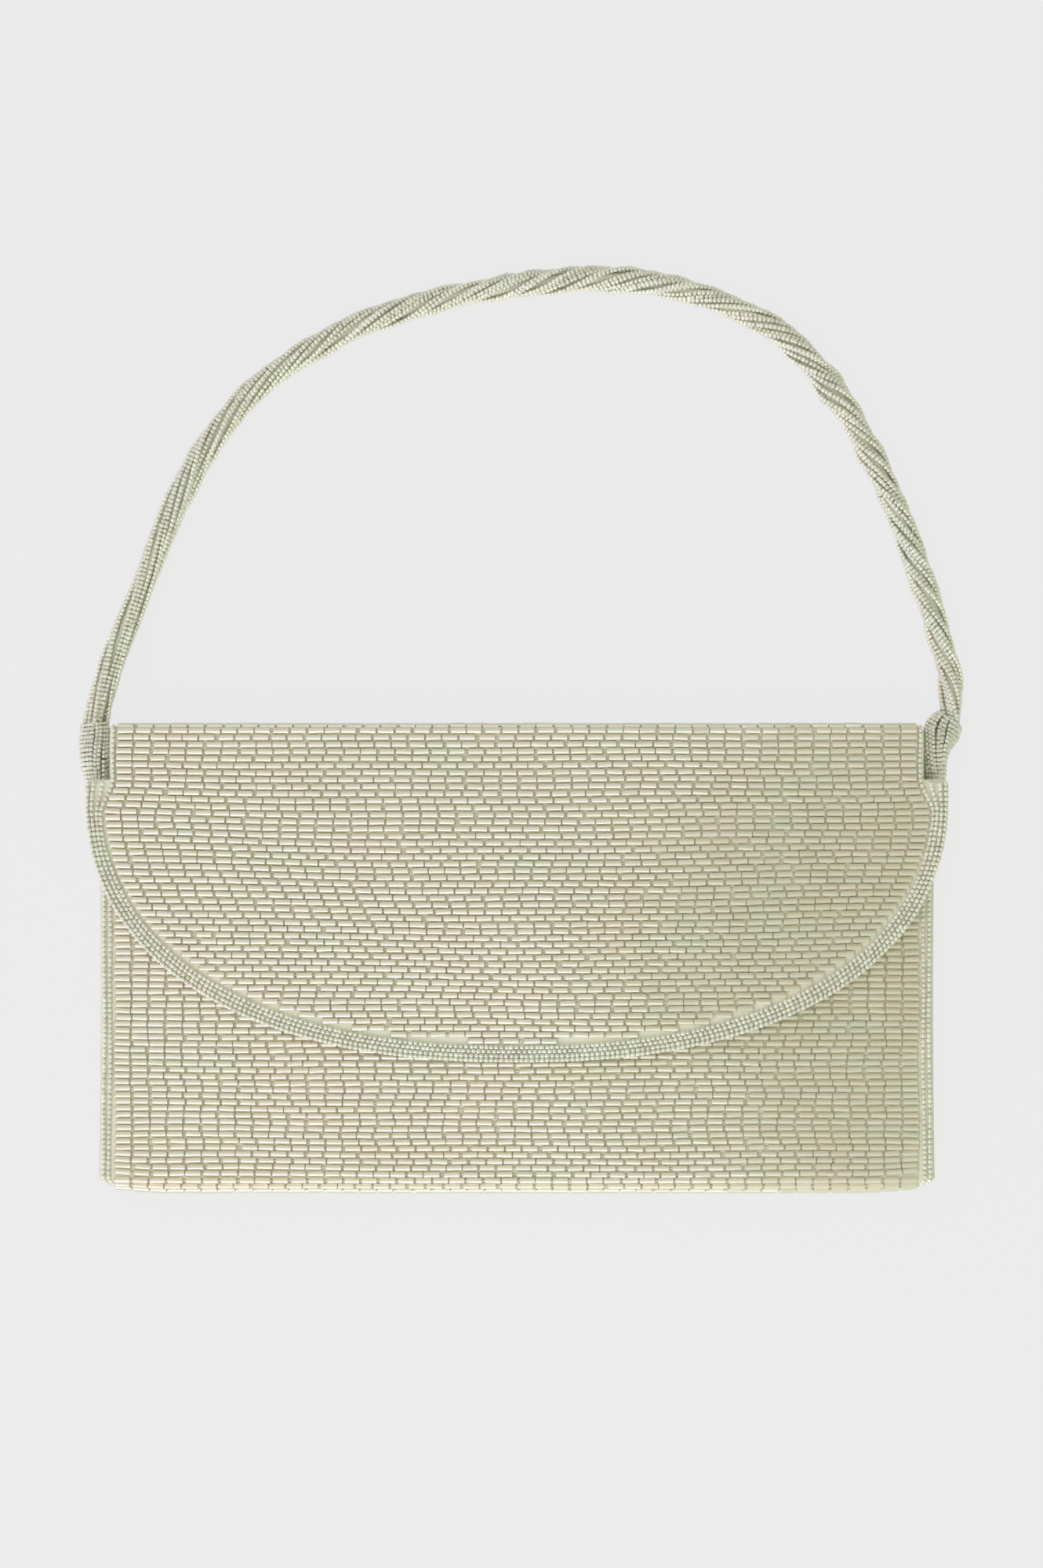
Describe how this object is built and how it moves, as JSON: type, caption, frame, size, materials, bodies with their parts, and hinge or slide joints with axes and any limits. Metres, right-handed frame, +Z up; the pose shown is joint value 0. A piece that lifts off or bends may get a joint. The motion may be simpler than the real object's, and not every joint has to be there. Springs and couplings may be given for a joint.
{
  "type": "clutch purse",
  "caption": "Flat beaded evening bag with a curved fold-over flap, an inner magnetic snap and a limp twisted bead-rope handle, lying on its back.",
  "frame": {"origin": "centre of the pouch's outline, on the surface that the bag lies on", "axes": "+Z up out of the flap's face, +Y from the bottom fold to the top fold and the handle, +X to the right seen from the front"},
  "size_m": [0.2674, 0.2782, 0.0201],
  "materials": {
    "bugle_beads": "silver-lined clear glass, pale champagne",
    "seed_beads": "silver-lined clear glass, pale champagne, small round beads",
    "rope_beads": "silver-lined clear glass, strung",
    "cloth": "satin weave, beige",
    "board": "matt",
    "lining": "satin, cream",
    "snap_metal": "plated",
    "magnet": "dull"
  },
  "bodies": {
    "pouch": {"back_bead_rows": "bugle_beads", "back_cloth": "cloth", "back_board": "board", "back_lining": "lining", "back_trim_left": "seed_beads", "back_trim_right": "seed_beads", "bottom_bead_rows": "bugle_beads", "bottom_cloth": "cloth", "bottom_lining": "lining", "top_bead_rows": "bugle_beads", "top_cloth": "cloth", "top_lining": "lining", "front_bead_rows": "bugle_beads", "front_cloth": "cloth", "front_board": "board", "front_lining": "lining", "front_trim_left": "seed_beads", "front_trim_right": "seed_beads", "mouth_binding": "lining", "side_seam_left": "cloth", "side_seam_right": "cloth", "handle_tab_left": "cloth", "handle_tab_right": "cloth", "snap_socket": "snap_metal", "snap_magnet": "magnet", "socket_washer": "snap_metal"},
    "flap": {"flap_bead_rows": "bugle_beads", "flap_edging": "seed_beads", "flap_cloth": "cloth", "flap_board": "board", "flap_lining": "lining", "snap_stud": "snap_metal", "stud_washer": "snap_metal"},
    "handle": {"handle_rope": "rope_beads", "handle_end_left": "rope_beads", "handle_end_right": "rope_beads"}
  },
  "joints": [
    {"name": "flap_hinge", "type": "hinge", "parent": "pouch", "child": "flap", "pos_m": [0, 0.07065, 0.0133], "axis": [-1, 0, 0], "range_deg": [0, 178]},
    {"name": "handle_swing", "type": "hinge", "parent": "pouch", "child": "handle", "pos_m": [0, 0.062, 0.0041], "axis": [1, 0, 0], "range_deg": [-105, 105]}
  ]
}
